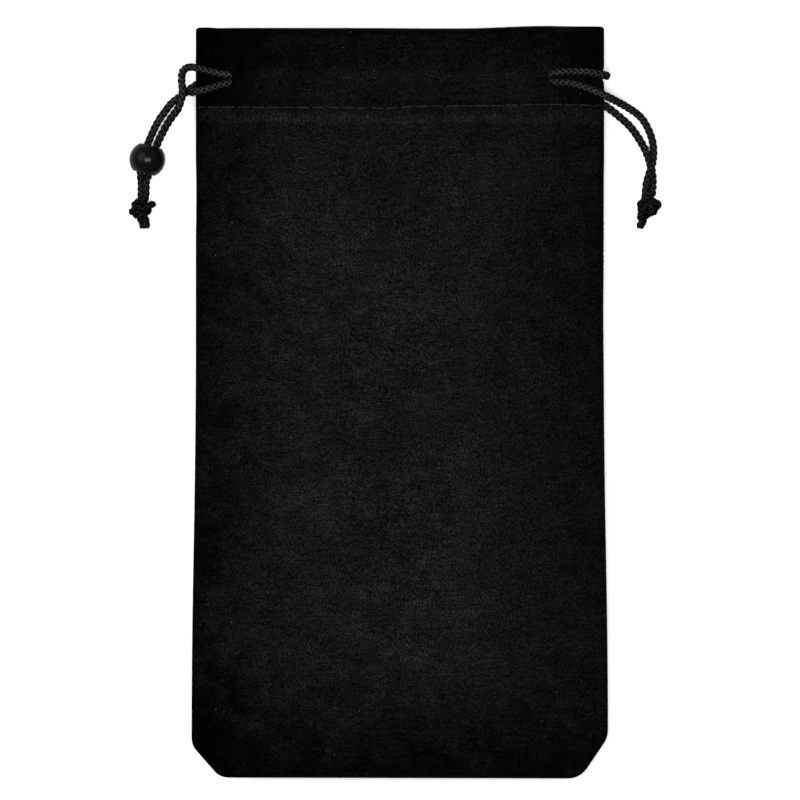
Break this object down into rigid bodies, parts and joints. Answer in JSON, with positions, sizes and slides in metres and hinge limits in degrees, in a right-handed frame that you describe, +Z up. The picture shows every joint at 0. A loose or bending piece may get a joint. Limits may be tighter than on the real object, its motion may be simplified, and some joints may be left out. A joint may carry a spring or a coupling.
{
  "type": "drawstring glasses pouch",
  "caption": "Soft flat drawstring pouch for glasses, two sewn cloth panels with a hemmed mouth, a braided drawcord knotted at each side and a ball bead on one of them.",
  "frame": {"origin": "centre of the pouch's outline, on the surface that it lies on", "axes": "+Y towards the mouth, +X to the right seen from above the front panel, +Z up out of the front panel"},
  "size_m": [0.1284, 0.181, 0.0132],
  "materials": {
    "cloth": "matt black short-nap velveteen",
    "cord": "black braided polyester",
    "thread": "dark grey sewing thread",
    "bead": "glossy black moulded plastic"
  },
  "bodies": {
    "pouch": {"front_panel": "cloth", "back_panel": "cloth", "front_hem_needle_thread": "thread", "front_hem_bobbin_thread": "thread", "front_hem_overlock": "thread", "back_hem_needle_thread": "thread", "back_hem_bobbin_thread": "thread", "back_hem_overlock": "thread", "seam_thread": "thread"},
    "left_cord": {"left_drawcord": "cord", "left_knot": "cord", "left_front_tail": "cord", "left_back_tail": "cord"},
    "right_cord": {"right_drawcord": "cord", "right_knot": "cord", "right_front_tail": "cord", "right_back_tail": "cord"},
    "bead": {"cord_bead": "bead"}
  },
  "joints": [
    {"name": "left_cord_pull", "type": "slide", "parent": "pouch", "child": "left_cord", "axis": [-1, 0, 0], "range_m": [0, 0.03], "deforming": ["front_panel", "back_panel", "seam_thread"]},
    {"name": "right_cord_pull", "type": "slide", "parent": "pouch", "child": "right_cord", "axis": [1, 0, 0], "range_m": [0, 0.03], "deforming": ["front_panel", "back_panel", "seam_thread"]},
    {"name": "bead_slide", "type": "hinge", "parent": "left_cord", "child": "bead", "pos_m": [-0.0254, 0.0495, 0.00435], "axis": [0, 0, -1], "range_deg": [-7.5, 11]}
  ]
}
